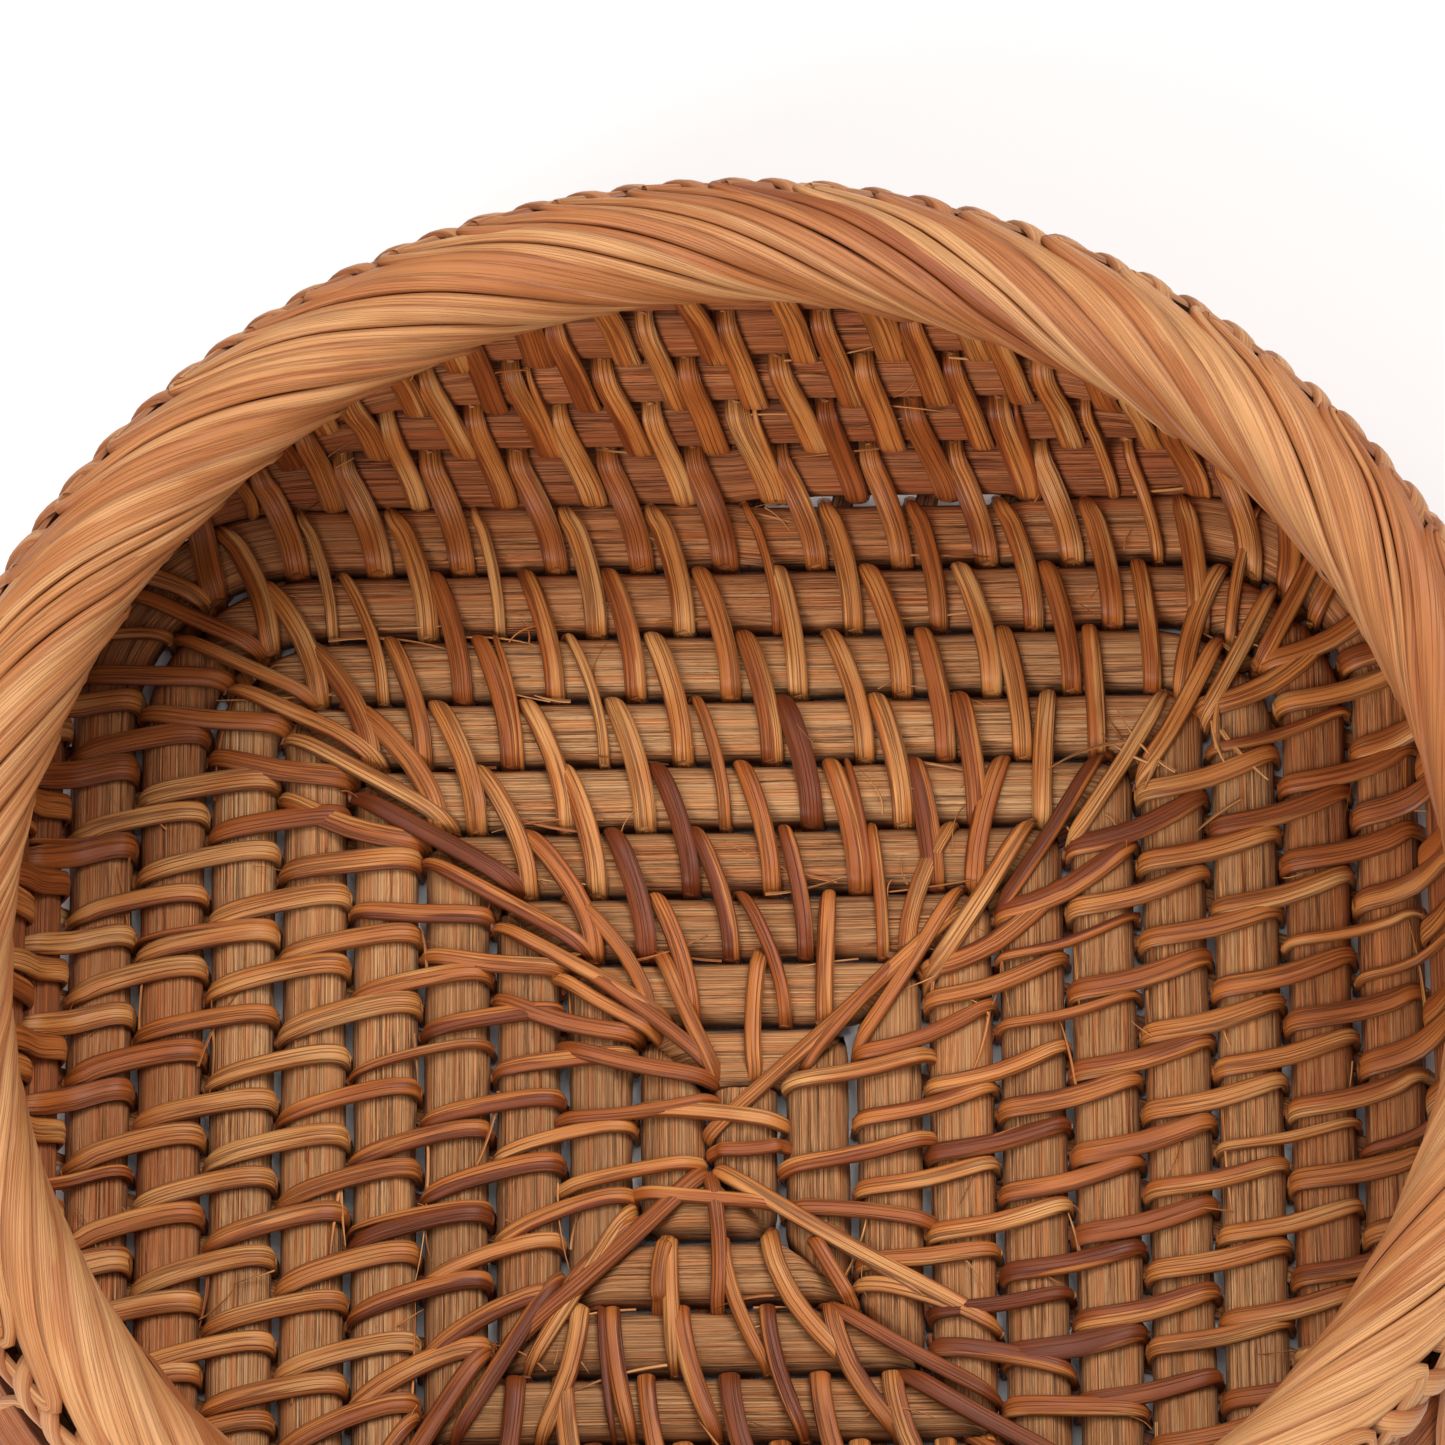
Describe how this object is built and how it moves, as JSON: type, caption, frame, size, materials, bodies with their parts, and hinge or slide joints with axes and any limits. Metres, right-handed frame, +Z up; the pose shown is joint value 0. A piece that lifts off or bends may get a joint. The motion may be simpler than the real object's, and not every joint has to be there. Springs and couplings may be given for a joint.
{
  "type": "wicker basket",
  "caption": "Shallow open basket of coiled split cane with a square floor, flared stitched walls and a round rim wrapped in a false braid.",
  "frame": {"origin": "centre of the rim's axis, on the plane the floor's stitches stand on", "axes": "+Z up out of the mouth; X and Y along the floor's square sides, -Y towards the near side"},
  "size_m": [0.1956, 0.1956, 0.0663],
  "materials": {
    "straw_cane": "matte, bare split cane, pale straw brown",
    "orange_cane": "matte, bare split cane, orange brown",
    "golden_peel": "satin, golden tan cane peel",
    "mahogany_peel": "satin, reddish dark brown cane peel",
    "rim_peel": "satin, light orange tan cane peel"
  },
  "bodies": {
    "root": {"floor_coil_01": "straw_cane", "floor_coil_02": "straw_cane", "floor_coil_03": "straw_cane", "floor_coil_04": "straw_cane", "floor_coil_05": "straw_cane", "floor_coil_06": "straw_cane", "floor_coil_07": "straw_cane", "floor_coil_08": "orange_cane", "floor_coil_09": "orange_cane", "floor_stitching_03": "golden_peel", "floor_stitching_04": "mahogany_peel", "floor_stitching_05": "mahogany_peel", "floor_stitching_06": "golden_peel", "floor_stitching_07": "golden_peel", "floor_stitching_08": "golden_peel", "floor_stitching_09": "golden_peel", "rim_coil": "orange_cane", "rim_hoop_inner": "straw_cane", "rim_hoop_outer": "straw_cane", "rim_wrap_back": "rim_peel", "rim_wrap_front": "rim_peel", "rim_wrap_left": "rim_peel", "rim_wrap_right": "rim_peel", "wall_coil_10": "orange_cane", "wall_coil_11": "orange_cane", "wall_coil_12": "orange_cane", "wall_coil_13": "orange_cane", "wall_coil_14": "orange_cane", "wall_coil_15": "orange_cane", "wall_stitching_10_back": "golden_peel", "wall_stitching_10_front": "golden_peel", "wall_stitching_10_left": "golden_peel", "wall_stitching_10_right": "golden_peel", "wall_stitching_11_back": "golden_peel", "wall_stitching_11_front": "golden_peel", "wall_stitching_11_left": "golden_peel", "wall_stitching_11_right": "golden_peel", "wall_stitching_12": "golden_peel", "wall_stitching_13": "golden_peel", "wall_stitching_14": "golden_peel"}
  },
  "joints": []
}
